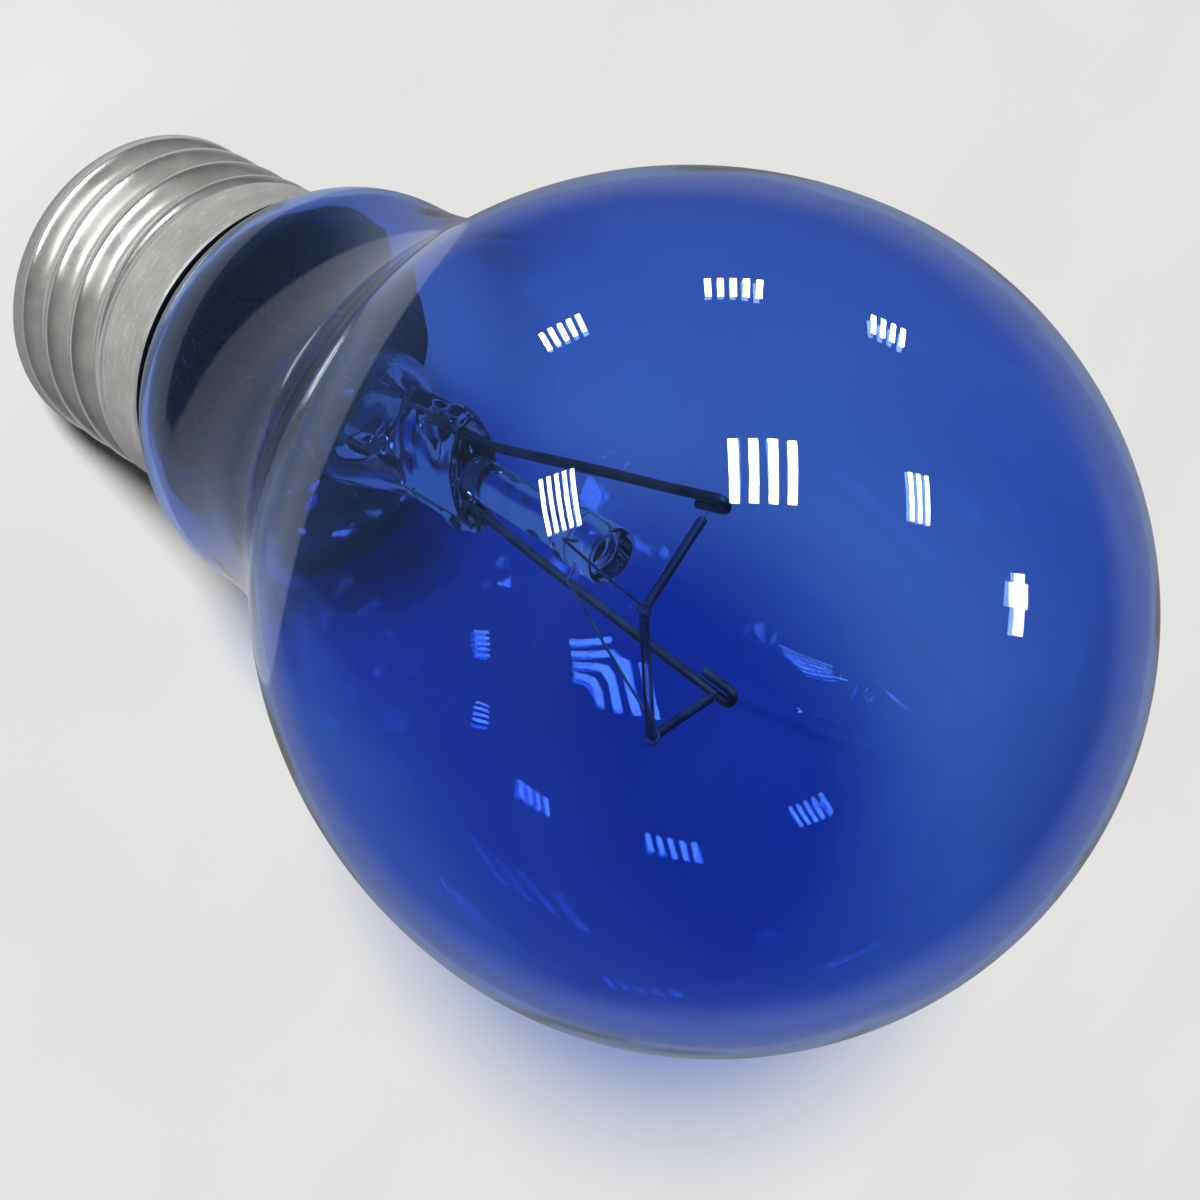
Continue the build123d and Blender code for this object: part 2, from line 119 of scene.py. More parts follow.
class NodePen:
    """Draws nodes and links in one node tree."""

    def __init__(self, tree: bpy.types.NodeTree) -> None:
        """Keeps the tree that is drawn in."""
        self.tree = tree

    def node(self, kind: str, values: dict | None = None, **settings: object) -> bpy.types.Node:
        """Adds a node.

        Args:
            kind: Blender's name for the node's type.
            values: Input values by socket name or number; a socket is linked instead.
            settings: Properties of the node itself.

        Returns:
            The new node.
        """
        made = self.tree.nodes.new(kind)
        for key, value in settings.items():
            setattr(made, key, value)
        for key, value in (values or {}).items():
            if isinstance(value, Socket):
                self.tree.links.new(value, made.inputs[key])
            else:
                made.inputs[key].default_value = value
        return made

    def math(self, operation: str, first: object, second: object = 0.0) -> Socket:
        """Adds a sum of two numbers or number sockets."""
        values = {0: first, 1: second}
        return self.node("ShaderNodeMath", values, operation=operation).outputs[0]

    def weigh(self, first: Socket, share: float, second: Socket, other: float) -> Socket:
        """Adds two sockets up, the first by its share and the second by the other."""
        parts = self.math("MULTIPLY", first, share), self.math("MULTIPLY", second, other)
        return self.math("ADD", *parts)

    def vector(self, operation: str, first: object, second: object = BLACK) -> Socket:
        """Adds a sum of vectors or vector sockets, which gives a number for some sums."""
        made = self.node("ShaderNodeVectorMath", {0: first, 1: second}, operation=operation)
        return made.outputs["Value" if operation in NUMBER_SUMS else "Vector"]

    def spread(self, value: Socket, span: Sequence[object], to: Span = WHOLE) -> Socket:
        """Maps a span of values, given as sockets or numbers, on another one, clamped."""
        sizes = {0: value, 1: span[0], 2: span[1], 3: to[0], 4: to[1]}
        return self.node("ShaderNodeMapRange", sizes).outputs[0]

    def blend(self, share: Socket, first: object, second: object) -> Socket:
        """Mixes two colours.

        Args:
            share: How much of the second colour shows.
            first: A colour or a colour socket.
            second: A colour or a colour socket.

        Returns:
            The mixed colour's socket.
        """
        ends = [(*c, 1.0) if isinstance(c, tuple) else c for c in (first, second)]
        values = {0: share, 6: ends[0], 7: ends[1]}
        return self.node("ShaderNodeMix", values, data_type="RGBA").outputs[2]

    def surface(self, values: dict[str, object]) -> Socket:
        """Adds the main shader of a material with these values."""
        return self.node("ShaderNodeBsdfPrincipled", values).outputs[0]

    def choose(self, share: Socket, first: Socket, second: Socket) -> Socket:
        """Mixes two shaders by the share of the second."""
        return self.node("ShaderNodeMixShader", {0: share, 1: first, 2: second}).outputs[0]

    def mirror_ray(self, path: Sequence[Socket]) -> Socket:
        """Picks the rays that a surface mirrors from a light path's outputs."""
        return self.math("GREATER_THAN", path["Is Glossy Ray"], path["Is Transmission Ray"])

    def far_side(self, heading: Socket) -> Socket:
        """Share of the pale far side of the surroundings in a heading."""
        return self.spread(self.vector("DOT_PRODUCT", heading, FAR_SIDE), FAR_EDGE)

    def effect(self, effect: Effect, **values: float) -> Socket:
        """Places a shared effect.

        Args:
            effect: Which effect.
            values: Values for its named inputs.

        Returns:
            The effect's mask.
        """
        made = self.node("ShaderNodeGroup", node_tree=SharedEffect.get(effect))
        for key, value in values.items():
            made.inputs[key.title()].default_value = value
        return made.outputs["Mask"]

    def bump(self, height: Socket, depth: float) -> Socket:
        """Turns a height from 0 to 1 into a normal, with the whole depth in millimetres."""
        values = {"Height": height, "Distance": depth * MM, "Strength": 1.0}
        return self.node("ShaderNodeBump", values).outputs["Normal"]


class SharedEffect(NodePen):
    """A pen that draws one shared effect in a node group of its own."""

    INPUTS: dict[Effect, tuple[str, ...]] = {
        Effect.MOTTLE: ("Scale", "Low", "High", "Detail"),
        Effect.SPECKS: ("Scale", "Size", "Share"),
        Effect.SCRATCHES: ("Scale", "Stretch", "Width"),
        Effect.STREAKS: ("Around", "Along", "Low", "High"),
        Effect.CREST: ("Low", "High"),
        Effect.INSIDE: ("Margin",),
        Effect.LEVEL: ("Low", "High"),
    }

    def __init__(self, effect: Effect) -> None:
        """Draws the effect in a new group.

        Args:
            effect: Which effect.
        """
        super().__init__(bpy.data.node_groups.new(effect.value, "ShaderNodeTree"))
        sockets = [(name, "INPUT") for name in self.INPUTS[effect]] + [("Mask", "OUTPUT")]
        for name, side in sockets:
            kind = {"in_out": side, "socket_type": "NodeSocketFloat"}
            socket = self.tree.interface.new_socket(name, **kind)
            if name == "Detail":
                socket.default_value = CLOUD_DETAIL
        self.sizes = self.node("NodeGroupInput").outputs
        self.place = self.node("ShaderNodeTexCoord").outputs["Object"]
        mask = getattr(self, effect.name.lower())()
        self.node("NodeGroupOutput", {"Mask": mask})

    @classmethod
    def get(cls, effect: Effect) -> bpy.types.NodeTree:
        """Finds an effect's group, or draws it."""
        found = bpy.data.node_groups.get(effect.value)
        return cls(effect).tree if found is None else found

    def flat(self) -> Socket:
        """The place without its height."""
        return self.vector("MULTIPLY", self.place, (1.0, 1.0, 0.0))

    def height(self) -> Socket:
        """The place's height along the axis."""
        return self.node("ShaderNodeSeparateXYZ", {0: self.place}).outputs[2]

    def levels(self, value: Socket) -> Socket:
        """What lies between the low and the high level."""
        return self.spread(value, (self.sizes["Low"], self.sizes["High"]))

    def cloud(self, spot: Socket, scale: object, detail: object = LINE_DETAIL) -> Socket:
        """A cloud of noise at a spot."""
        values = {"Vector": spot, "Scale": scale, "Detail": detail}
        return self.node("ShaderNodeTexNoise", values).outputs[0]

    def mottle(self) -> Socket:
        """Draws soft clouds between two levels."""
        return self.levels(self.cloud(self.place, self.sizes["Scale"], self.sizes["Detail"]))

    def specks(self) -> Socket:
        """Draws small round spots, kept in a share of their cells.

        Returns:
            The mask.
        """
        values = {"Vector": self.place, "Scale": self.sizes["Scale"]}
        cell = self.node("ShaderNodeTexVoronoi", values).outputs
        near = self.spread(cell["Distance"], (self.sizes["Size"], 0.0))
        draw = self.node("ShaderNodeSeparateColor", {0: cell["Color"]}).outputs[0]
        kept = self.math("LESS_THAN", draw, self.sizes["Share"])
        return self.math("MULTIPLY", near, kept)

    def scratches(self) -> Socket:
        """Draws thin lines where a stretched cloud crosses its middle.

        Returns:
            The mask.
        """
        values = {0: 1.0, 1: 1.0, 2: self.sizes["Stretch"]}
        squeeze = self.node("ShaderNodeCombineXYZ", values).outputs[0]
        drawn = self.vector("MULTIPLY", self.place, squeeze)
        cloud = self.cloud(drawn, self.sizes["Scale"])
        off = self.math("ABSOLUTE", self.math("SUBTRACT", cloud, 0.5))
        return self.spread(off, (self.sizes["Width"], 0.0))

    def streaks(self) -> Socket:
        """Draws streaks by their own scales round the axis and along it.

        Returns:
            The mask.
        """
        values = {0: self.vector("NORMALIZE", self.flat()), "Scale": self.sizes["Around"]}
        wide = self.node("ShaderNodeVectorMath", values, operation="SCALE").outputs[0]
        rise = self.math("MULTIPLY", self.height(), self.sizes["Along"])
        lift = self.node("ShaderNodeCombineXYZ", {2: rise}).outputs[0]
        return self.levels(self.cloud(self.vector("ADD", wide, lift), 1.0))

    def crest(self) -> Socket:
        """Rises with the distance from the axis."""
        return self.levels(self.vector("LENGTH", self.flat()))

    def inside(self) -> Socket:
        """Marks faces that look towards the axis.

        Returns:
            The mask.
        """
        outward = self.vector("NORMALIZE", self.flat())
        facing = self.node("ShaderNodeTexCoord").outputs["Normal"]
        lean = self.vector("DOT_PRODUCT", facing, outward)
        return self.math("LESS_THAN", lean, self.sizes["Margin"])

    def level(self) -> Socket:
        """Rises with the height along the axis."""
        return self.levels(self.height())


@dataclass(frozen=True)
class Finish:
    """A finish that can be laid on a piece; the stage has no slot."""

    name: str
    slot: Slot | None = None

    def paint(self, pen: NodePen) -> Socket:
        """Draws the finish in the pen's tree and gives its shader's socket."""
        raise NotImplementedError

    def material(self) -> bpy.types.Material:
        """Finds the material of this finish, or makes it.

        Returns:
            The material.
        """
        made = bpy.data.materials.get(self.name)
        if made is None:
            made = bpy.data.materials.new(self.name)
            made.use_nodes = True
            made.node_tree.nodes.clear()
            pen = NodePen(made.node_tree)
            pen.node("ShaderNodeOutputMaterial", {"Surface": self.paint(pen)})
        return made


@dataclass(frozen=True)
class GlassFinish(Finish):
    """Glass that lamps shine through, with soft clouds of tint, ripples and dust."""

    CLOUD = {"low": 0.3, "high": 0.7, "detail": 0.0}
    RIPPLE = {"low": 0.2, "high": 0.8, "detail": 0.0}

    tint: Colour = (0.9, 0.9, 0.9)
    deep_tint: Colour = (0.85, 0.85, 0.85)
    refraction: float = 1.5
    cloud_scale: float = 60.0
    ripple_scale: float = 150.0
    ripple_depth: float = 0.01
    rim_depth: float = 1.0
    dust_scale: float = 280.0
    dust_size: float = 0.05
    dust_share: float = 0.0
    dust_roughness: float = 0.25

    def paint(self, pen: NodePen) -> Socket:
        """Draws glass, with a tinted clear stand-in for the rays that light the floor.

        Args:
            pen: Draws in the material's tree.

        Returns:
            The surface shader's socket.
        """
        slant = pen.node("ShaderNodeLayerWeight", {"Blend": 0.5}).outputs["Facing"]
        cloud = pen.effect(Effect.MOTTLE, scale=self.cloud_scale, **self.CLOUD)
        ripple = pen.effect(Effect.MOTTLE, scale=self.ripple_scale, **self.RIPPLE)
        wall = pen.blend(cloud, self.tint, self.deep_tint)
        dull: object = 0.0
        if self.dust_share > 0.0:
            sizes = {"scale": self.dust_scale, "size": self.dust_size, "share": self.dust_share}
            dust = pen.effect(Effect.SPECKS, **sizes)
            wall = pen.blend(dust, wall, tuple(c * c for c in self.deep_tint))
            dull = pen.math("MULTIPLY", dust, self.dust_roughness)
        rim = tuple(c**self.rim_depth for c in self.deep_tint)
        body = pen.surface(
            {
                "Base Color": pen.blend(slant, wall, rim),
                "Roughness": dull,
                "Normal": pen.bump(ripple, self.ripple_depth),
                "IOR": self.refraction,
                "Transmission Weight": 1.0,
                "Metallic": 0.0,
            }
        )
        # A wall has two faces, so each one holds back the root of the wall's tint.
        face = (*(math.sqrt(c) for c in self.tint), 1.0)
        clear = pen.node("ShaderNodeBsdfTransparent", {"Color": face}).outputs[0]
        path = pen.node("ShaderNodeLightPath").outputs
        lamp_ray = pen.math("MAXIMUM", path["Is Shadow Ray"], path["Is Diffuse Ray"])
        return pen.choose(lamp_ray, body, clear)


@dataclass(frozen=True)
class MetalFinish(Finish):
    """Bare metal with mottled dullness, drawn streaks and a fine grain."""

    PATCH_SHARE = 0.15

    bright: Colour = (0.7, 0.7, 0.7)
    dull: Colour = (0.5, 0.5, 0.5)
    smooth: float = 0.3
    rough: float = 0.5
    grain_scale: float = 2500.0
    grain_depth: float = 0.01
    streak_around: float = 30.0
    streak_along: float = 120.0

    def paint(self, pen: NodePen) -> Socket:
        """Draws metal that is duller in patches.

        Args:
            pen: Draws in the material's tree.

        Returns:
            The surface shader's socket.
        """
        patch = pen.effect(Effect.MOTTLE, scale=self.grain_scale * self.PATCH_SHARE, **MARKED)
        grain = pen.effect(Effect.MOTTLE, scale=self.grain_scale, **SOFT)
        run = {"around": self.streak_around, "along": self.streak_along}
        wear = pen.weigh(patch, 0.5, pen.effect(Effect.STREAKS, **run, **MARKED), 0.5)
        return pen.surface(
            {
                "Base Color": pen.blend(patch, self.bright, self.dull),
                "Metallic": 1.0,
                "Roughness": pen.spread(wear, WHOLE, (self.smooth, self.rough)),
                "Normal": pen.bump(grain, self.grain_depth),
            }
        )


@dataclass(frozen=True)
class CapFinish(Finish):
    """Rolled cap sheet: painted shade in grooves and inside, worn crests with painted highlight."""

    STREAK = {"around": 40.0, "along": 260.0, "low": 0.35, "high": 0.7}
    ROLL = {"around": 5.0, "along": 2600.0, "low": 0.3, "high": 0.72}
    PATCH = {"scale": 320.0, "low": 0.35, "high": 0.7}
    GRAIN = {"scale": 4200.0, "low": 0.25, "high": 0.75}
    RUB = {"scale": 260.0, "stretch": 7.0, "width": 0.02}

    bright: Colour = (0.80, 0.81, 0.78)
    dull: Colour = (0.56, 0.56, 0.53)
    collar: Colour = (0.42, 0.425, 0.40)
    # Painted shade that darkens the grooves between the thread's crests.
    groove_shade: Colour = (0.09, 0.088, 0.078)
    # Near-black painted shade for the faces inside the cap.
    inner_shade: Colour = (0.012, 0.011, 0.010)
    crest: Span = (12.35, 13.05)
    collar_edge: Span = (19.3, 19.9)
    inner_margin: float = -0.3
    streak_share: float = 0.2
    roll_share: float = 0.35
    groove_shade_share: float = 0.45
    # How much lighter the crests are along rub lines, part wear and part painted highlight.
    rub_and_highlight_share: float = 0.5
    collar_patch: Span = (0.7, 1.0)
    groove_patch: Span = (0.55, 1.0)
    metal: Span = (0.92, 0.62)
    gloss: Span = (0.2, 0.44)
    grain_height: float = 0.45
    roll_height: float = 0.55
    relief: float = 0.006

    def paint(self, pen: NodePen) -> Socket:
        """Draws the cap's sheet metal.

        Args:
            pen: Draws in the material's tree.

        Returns:
            The surface shader's socket.
        """
        streak = pen.effect(Effect.STREAKS, **self.STREAK)
        roll = pen.effect(Effect.STREAKS, **self.ROLL)
        patch = pen.effect(Effect.MOTTLE, **self.PATCH)
        grain = pen.effect(Effect.MOTTLE, **self.GRAIN)
        rub = pen.effect(Effect.SCRATCHES, **self.RUB)
        crest = pen.effect(Effect.CREST, low=self.crest[0] * MM, high=self.crest[1] * MM)
        inside = pen.effect(Effect.INSIDE, margin=self.inner_margin)
        low, high = self.collar_edge
        collar = pen.effect(Effect.LEVEL, low=low * MM, high=high * MM)

        lines = pen.weigh(streak, self.streak_share, roll, self.roll_share)
        rolled = pen.blend(lines, self.bright, self.dull)
        tint = pen.math("MULTIPLY", collar, pen.spread(patch, WHOLE, self.collar_patch))
        sheet = pen.blend(tint, rolled, self.collar)
        hollow = pen.math("SUBTRACT", 1.0, crest)
        groove = pen.math("MULTIPLY", hollow, pen.spread(patch, WHOLE, self.groove_patch))
        # Painted shade darkens the grooves between the crests.
        groove_shaded = pen.blend(pen.math("MULTIPLY", groove, self.groove_shade_share), sheet, self.groove_shade)
        # Rub lines on the crests are lighter, part wear and part painted highlight.
        shine = pen.math("MULTIPLY", rub, pen.math("MULTIPLY", crest, self.rub_and_highlight_share))
        rubbed_and_highlit = pen.blend(shine, groove_shaded, self.bright)
        tarnish = pen.math("MAXIMUM", groove, collar)
        bare = pen.math("SUBTRACT", 1.0, inside)
        dullness = pen.weigh(patch, 0.5, tarnish, 0.5)
        height = pen.weigh(grain, self.grain_height, roll, self.roll_height)
        return pen.surface(
            {
                # Painted shade: the inner faces are near black, as the inside of the cap gets
                # almost no light.
                "Base Color": pen.blend(inside, rubbed_and_highlit, self.inner_shade),
                "Metallic": pen.math("MULTIPLY", bare, pen.spread(tarnish, WHOLE, self.metal)),
                "Roughness": pen.spread(dullness, WHOLE, self.gloss),
                "Normal": pen.bump(height, self.relief),
            }
        )


@dataclass(frozen=True)
class StoneFinish(Finish):
    """Cast or moulded matter that is no metal: cement and black glass."""

    PATCH_SHARE = 0.2
    SPECK_RATE = 0.7

    pale: Colour = (0.1, 0.09, 0.08)
    dark: Colour = (0.05, 0.04, 0.04)
    smooth: float = 0.1
    rough: float = 0.3
    grain_scale: float = 1500.0
    grain_depth: float = 0.02
    speck_colour: Colour = (0.3, 0.28, 0.25)
    speck_share: float = 0.2
    speck_size: float = 0.35

    def paint(self, pen: NodePen) -> Socket:
        """Draws a mottled body with pale specks.

        Args:
            pen: Draws in the material's tree.

        Returns:
            The surface shader's socket.
        """
        patch = pen.effect(Effect.MOTTLE, scale=self.grain_scale * self.PATCH_SHARE, **SOFT)
        grain = pen.effect(Effect.MOTTLE, scale=self.grain_scale, **SOFT)
        sizes = {"size": self.speck_size, "share": self.speck_share}
        speck = pen.effect(Effect.SPECKS, scale=self.grain_scale * self.SPECK_RATE, **sizes)
        ground = pen.blend(patch, self.dark, self.pale)
        return pen.surface(
            {
                "Base Color": pen.blend(speck, ground, self.speck_colour),
                "Roughness": pen.spread(patch, WHOLE, (self.smooth, self.rough)),
                "Normal": pen.bump(grain, self.grain_depth),
            }
        )


@dataclass(frozen=True)
class FloorFinish(Finish):
    """Plain pale floor, a little mottled and clear from below, with a painted reflection for
    mirrors. Plain pale floor, a little mottled, mirrored darker than it is and clear from
    below.
    """

    pale: Colour = (0.86, 0.86, 0.85)
    shade: Colour = (0.83, 0.83, 0.82)
    patch_scale: float = 30.0
    roughness: float = 0.9
    gloss: float = 0.1
    mirrored_near: Colour = (0.03, 0.03, 0.033)
    mirrored_far: Colour = (0.25, 0.25, 0.26)
    mirrored_close: Colour = (0.52, 0.52, 0.53)
    close_from: Span = (0.018, 0.026)
    close_to: Span = (0.0375, 0.0387)

    def paint(self, pen: NodePen) -> Socket:
        """Draws a matt pale floor, which glows a painted reflection for mirror rays.

        Args:
            pen: Draws in the material's tree.

        Returns:
            The surface shader's socket.
        """
        patch = pen.effect(Effect.MOTTLE, scale=self.patch_scale, **SOFT)
        seen = pen.blend(patch, self.pale, self.shade)
        mirror_ray = pen.mirror_ray(pen.node("ShaderNodeLightPath").outputs)
        spot = pen.node("ShaderNodeTexCoord").outputs["Object"]
        heading = pen.vector("NORMALIZE", pen.vector("SUBTRACT", spot, GLOBE_CENTRE))
        aside = pen.vector("DISTANCE", spot, PALE_CENTRE)
        # Painted reflection: mirror rays see the floor black but glowing, dark on the near side,
        # paler on the far side and pale in a ring round the bulb's foot.
        apart = pen.blend(pen.far_side(heading), self.mirrored_near, self.mirrored_far)
        ring = pen.spread(aside, self.close_from)
        close = pen.blend(ring, self.mirrored_far, self.mirrored_close)
        mirrored = pen.blend(pen.spread(aside, self.close_to), close, apart)
        top = pen.surface(
            {
                "Base Color": pen.blend(mirror_ray, seen, BLACK),
                "Roughness": self.roughness,
                "Specular IOR Level": self.gloss,
                "Emission Color": pen.blend(mirror_ray, BLACK, mirrored),
                "Emission Strength": 1.0,
            }
        )
        below = pen.node("ShaderNodeNewGeometry").outputs["Backfacing"]
        return pen.choose(below, top, pen.node("ShaderNodeBsdfTransparent").outputs[0])


BLUE_GLASS = GlassFinish(
    "blown blue glass", Slot.BLUE_GLASS, tint=(0.245, 0.40, 0.81),
    deep_tint=(0.22, 0.375, 0.795), rim_depth=1.7, dust_share=0.25,
)
CLEAR_GLASS = GlassFinish(
    "clear stem glass", Slot.CLEAR_GLASS, tint=(0.90, 0.94, 0.92),
    deep_tint=(0.86, 0.92, 0.89), refraction=1.54, ripple_scale=380.0, ripple_depth=0.2,
)
LEAD_METAL = MetalFinish(
    "nickel plated lead", Slot.LEAD_METAL, bright=(0.12, 0.11, 0.08), dull=(0.06, 0.056, 0.04),
)
COPPER_CLAD = MetalFinish(
    "copper clad seal wire", Slot.COPPER_CLAD, bright=(0.55, 0.24, 0.14),
    dull=(0.34, 0.13, 0.08),
)
SUPPORT_METAL = MetalFinish(
    "molybdenum support", Slot.SUPPORT_METAL, bright=(0.16, 0.16, 0.16),
    dull=(0.08, 0.08, 0.085), rough=0.45,
)
TUNGSTEN = MetalFinish(
    "coiled tungsten", Slot.TUNGSTEN, bright=(0.09, 0.09, 0.095), dull=(0.045, 0.045, 0.05),
    smooth=0.4, rough=0.6,
)
CAP_METAL = CapFinish("rolled cap sheet", Slot.CAP_METAL)
CONTACT_BRASS = MetalFinish(
    "contact brass", Slot.CONTACT_BRASS, bright=(0.72, 0.56, 0.30), dull=(0.45, 0.33, 0.16),
    smooth=0.25,
)
SOLDER = MetalFinish(
    "dull solder", Slot.SOLDER, bright=(0.62, 0.61, 0.60), dull=(0.36, 0.36, 0.37),
    rough=0.55, grain_scale=1400.0, grain_depth=0.06,
)
BLACK_GLASS = StoneFinish(
    "black insulator glass", Slot.BLACK_GLASS, pale=(0.020, 0.016, 0.014),
    dark=(0.008, 0.007, 0.008), smooth=0.06, rough=0.2, grain_scale=700.0, grain_depth=0.03,
    speck_colour=(0.05, 0.045, 0.04), speck_share=0.1,
)
# The cement's near-black colours are painted shade, for the dark inside of the cap.
CEMENT = StoneFinish(
    "baked cement", Slot.CEMENT, pale=(0.020, 0.018, 0.016), dark=(0.008, 0.007, 0.006),
    smooth=0.7, rough=0.9, grain_scale=2200.0, grain_depth=0.12,
    speck_colour=(0.14, 0.12, 0.10), speck_share=0.2,
)
PALE_FLOOR = FloorFinish("pale floor")


class SectionPen:
    """Collects the points of a half section, as radius and height in millimetres."""

    NEAR = 1e-4

    def __init__(self, arc_step: float) -> None:
        """Starts an empty section whose arcs turn by at most this many degrees a point."""
        self.arc_step = arc_step
        self.points: list[Span] = []

    def to(self, radius: float, height: float, steps: int = 1) -> "SectionPen":
        """Draws a straight run.

        Args:
            radius: Radius of its last point.
            height: Height of its last point.
            steps: Even steps that it takes.

        Returns:
            The pen itself.
        """
        x, z = self.points[-1] if self.points else (radius, height)
        for step in range(1, steps + 1):
            share = step / steps
            self.points.append((x + (radius - x) * share, z + (height - z) * share))
        return self

    def arc(self, centre: Span, radius: float, start: float, end: float) -> "SectionPen":
        """Draws an arc.

        Args:
            centre: Its centre, as radius and height.
            radius: Its own radius.
            start: Angle of its first point in degrees, from straight outward, upward positive.
            end: Angle of its last point.

        Returns:
            The pen itself.
        """
        steps = max(2, math.ceil(abs(end - start) / self.arc_step))
        for step in range(steps + 1):
            angle = math.radians(start + (end - start) * step / steps)
            x, z = centre[0] + radius * math.cos(angle), centre[1] + radius * math.sin(angle)
            if not self.points or math.dist((x, z), self.points[-1]) > self.NEAR:
                self.points.append((x, z))
        return self


class Maker:
    """Makes smooth meshes from rings of points and seats them in the frame."""

    CREASE = math.radians(38.0)
    POLE = 1e-6

    @classmethod
    def skin(cls, name: str, rings: Sequence[Ring], closed: bool = False) -> Piece:
        """Skins rings of points one after another.

        Args:
            name: Name of the piece.
            rings: Closed rings in millimetres; a ring of one point is a pole.
            closed: Whether the last ring joins the first.

        Returns:
            The new piece.
        """
        points: list[Vector] = []
        first: list[int] = []
        for ring in rings:
            first.append(len(points))
            points.extend(p * MM for p in ring)
        faces: list[tuple[int, ...]] = []
        pairs = list(zip(range(len(rings)), range(1, len(rings))))
        if closed:
            pairs.append((len(rings) - 1, 0))
        for low, high in pairs:
            a, b = first[low], first[high]
            m, n = len(rings[low]), len(rings[high])
            for i in range(max(m, n)):
                j = (i + 1) % max(m, n)
                loop = (a + i % m, b + i % n, b + j % n, a + j % m)
                faces.append(tuple(dict.fromkeys(loop)))
        corners = ([points[k] for k in face] for face in faces)
        volume = sum(p[0].dot(q.cross(r)) for p in corners for q, r in zip(p[1:], p[2:]))
        if volume < 0:
            faces = [tuple(reversed(f)) for f in faces]
        mesh = bpy.data.meshes.new(name)
        mesh.from_pydata(points, [], faces)
        mesh.validate()
        mesh.shade_smooth()
        mesh.set_sharp_from_angle(angle=cls.CREASE)
        made = bpy.data.objects.new(name, mesh)
        bpy.context.scene.collection.objects.link(made)
        return made

    @classmethod
    def turned(
        cls,
        name: str,
        section: Sequence[Span],
        segments: int,
        closed: bool = False,
        shift: Callable[[float, float, int], float] | None = None,
    ) -> Piece:
        """Turns a half section round the axis.

        Args:
            name: Name of the piece.
            section: Radius and height of each point; a radius of 0 is a pole.
            segments: Points round the axis.
            closed: Whether the section closes on itself.
            shift: How far a point moves outward, by its angle, height and place in the section.

        Returns:
            The new piece.
        """
        rings: list[Ring] = []
        for place, (radius, height) in enumerate(section):
            if radius < cls.POLE:
                rings.append([Vector((0.0, 0.0, height))])
                continue
            ring: Ring = []
            for k in range(segments):
                angle = 2 * math.pi * k / segments
                reach = radius + (shift(angle, height, place) if shift else 0.0)
                ring.append(Vector((reach * math.cos(angle), reach * math.sin(angle), height)))
            rings.append(ring)
        return cls.skin(name, rings, closed)

    @staticmethod
    def carried(path: Sequence[Vector]) -> list[tuple[Vector, Vector]]:
        """Carries a cross direction along a path without a twist.

        Args:
            path: The path's points.

        Returns:
            The heading and the carried direction at each point.
        """
        heading = (path[1] - path[0]).normalized()
        across = heading.orthogonal().normalized()
        found: list[tuple[Vector, Vector]] = []
        for before, after in zip([path[0], *path[:-1]], [*path[1:], path[-1]]):
            ahead = (after - before).normalized()
            across = heading.rotation_difference(ahead) @ across
            heading = ahead
            found.append((heading, across))
        return found

    @classmethod
    def tube(cls, name: str, path: Sequence[Vector], radius: float, sides: int) -> Piece:
        """Draws a round wire along a path.

        Args:
            name: Name of the piece.
            path: Its points in millimetres.
            radius: Radius of the wire.
            sides: Points round the wire.

        Returns:
            The new piece.
        """
        turns = [2 * math.pi * s / sides for s in range(sides)]
        rings: list[Ring] = [[path[0].copy()]]
        for point, (heading, across) in zip(path, cls.carried(path)):
            beside = heading.cross(across).normalized()
            spokes = (across * math.cos(t) + beside * math.sin(t) for t in turns)
            rings.append([point + spoke * radius for spoke in spokes])
        rings.append([path[-1].copy()])
        return cls.skin(name, rings)

    @staticmethod
    def seat(piece: Piece, finish: Finish, *nodes: str) -> Piece:
        """Dresses a piece and lets it stand for its nodes.

        Args:
            piece: The new piece.
            finish: Its finish.
            nodes: The nodes it stands for.

        Returns:
            The piece itself.
        """
        piece.data.materials.append(finish.material())
        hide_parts(*nodes)
        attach(piece, BODY)
        log.info("%s stands for %s in %s", piece.name, ", ".join(nodes), finish.name)
        return piece

    @staticmethod
    def dress(node: Piece, finish: Finish) -> Piece:
        """Gives a node that keeps its own shape its finish.

        Args:
            node: The frame's node.
            finish: Its finish.

        Returns:
            The node itself.
        """
        node.data.materials.clear()
        node.data.materials.append(finish.material())
        log.info("%s keeps its shape in %s", node.name, finish.name)
        return node


